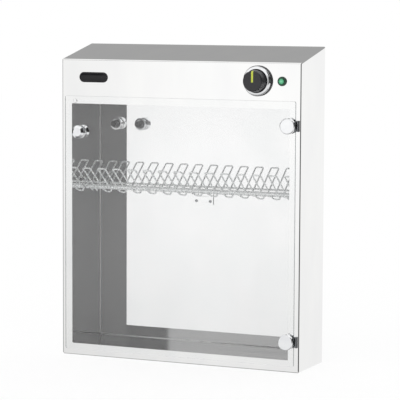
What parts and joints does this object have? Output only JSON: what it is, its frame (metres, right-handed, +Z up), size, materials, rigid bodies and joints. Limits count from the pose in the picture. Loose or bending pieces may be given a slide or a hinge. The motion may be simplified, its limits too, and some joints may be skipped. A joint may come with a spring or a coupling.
{
  "type": "ultraviolet knife sterilizer cabinet",
  "caption": "Shallow polished steel cabinet with a hinged clear door, a sloping wire knife rack, an ultraviolet tube, a rotary timer, a pilot lamp and a door interlock.",
  "frame": {"origin": "middle of the base: half the width and half the depth, at the underside", "axes": "+Z up, -Y out of the front with the door and the timer, +X to the right seen from the front"},
  "size_m": [0.521, 0.158, 0.615],
  "materials": {
    "polished_stainless": "mirror-polished stainless sheet",
    "mirror_stainless": "mirror-polished stainless sheet, thin",
    "satin_stainless": "satin stainless",
    "bright_wire": "bright drawn and electropolished wire",
    "chrome": "chrome plated",
    "zinc_steel": "zinc plated",
    "spring_steel": "dark spring steel",
    "aluminium": "bright rolled",
    "brass": "nickel-free, turned",
    "quartz_glass": "clear quartz glass",
    "painted_steel": "varnished laminations",
    "white_plastic": "moulded white",
    "black_plastic": "moulded black",
    "black_gloss_plastic": "moulded black, fine gloss",
    "pointer_plastic": "yellow-green inlay",
    "green_lens": "translucent green lens",
    "badge_enamel": "bare black plate with a domed clear coat",
    "clear_acrylic": "clear sheet, polished edges"
  },
  "bodies": {
    "cabinet": {"housing_shell": "polished_stainless", "back_panel": "satin_stainless", "back_panel_screws": "zinc_steel", "chamber_liner": "mirror_stainless", "chamber_floor": "mirror_stainless", "chamber_top": "mirror_stainless", "lamp_reflector": "aluminium", "lamp_holders": "white_plastic", "ballast": "painted_steel", "ballast_screws": "zinc_steel", "starter_holder": "white_plastic", "starter": "aluminium", "terminal_block": "white_plastic", "earth_stud": "brass", "cable_gland": "black_plastic", "gland_locknut": "black_plastic", "timer_body": "zinc_steel", "timer_nut": "zinc_steel", "pilot_lamp_lens": "green_lens", "pilot_lamp_body": "black_plastic", "pilot_lamp_clip": "spring_steel", "badge_plate": "badge_enamel", "interlock_switch": "black_plastic", "interlock_bracket": "satin_stainless", "rack_wire": "bright_wire", "rack_rods": "bright_wire", "rack_end_brackets": "satin_stainless", "rack_rivets": "satin_stainless", "rack_centre_bracket": "satin_stainless", "rack_screws": "satin_stainless", "hinge_frame_leaves": "satin_stainless", "hinge_pins": "satin_stainless", "hinge_rivets": "satin_stainless"},
    "door": {"door_pane": "clear_acrylic", "door_knob": "chrome", "door_knob_stud": "zinc_steel", "door_knob_nut": "black_plastic", "hinge_door_leaves": "satin_stainless", "hinge_cap_bases": "zinc_steel", "cap_screws": "zinc_steel", "hinge_caps": "chrome"},
    "timer_knob": {"timer_knob": "black_gloss_plastic", "knob_trim_ring": "chrome", "knob_pointer": "pointer_plastic", "timer_shaft": "zinc_steel"},
    "plunger": {"interlock_plunger": "white_plastic"},
    "lamp": {"uv_lamp_tube": "quartz_glass", "lamp_end_caps": "aluminium", "lamp_pins": "brass", "lamp_holder_rotors": "white_plastic"}
  },
  "joints": [
    {"name": "door_hinge", "type": "hinge", "parent": "cabinet", "child": "door", "pos_m": [0.2476, -0.0644, 0.26375], "axis": [0, 0, 1], "range_deg": [0, 110]},
    {"name": "timer_turn", "type": "hinge", "parent": "cabinet", "child": "timer_knob", "pos_m": [0.165, -0.062, 0.552], "axis": [0, 1, 0], "range_deg": [0, 300]},
    {"name": "plunger_slide", "type": "slide", "parent": "cabinet", "child": "plunger", "axis": [0, -1, 0], "range_m": [0, 0.003]},
    {"name": "lamp_twist", "type": "hinge", "parent": "cabinet", "child": "lamp", "pos_m": [0, 0.012, 0.509], "axis": [1, 0, 0], "range_deg": [0, 90]}
  ],
  "couplings": [
    {"joint": "plunger_slide", "follows": "door_hinge", "m_per_rad": 0.00156}
  ]
}
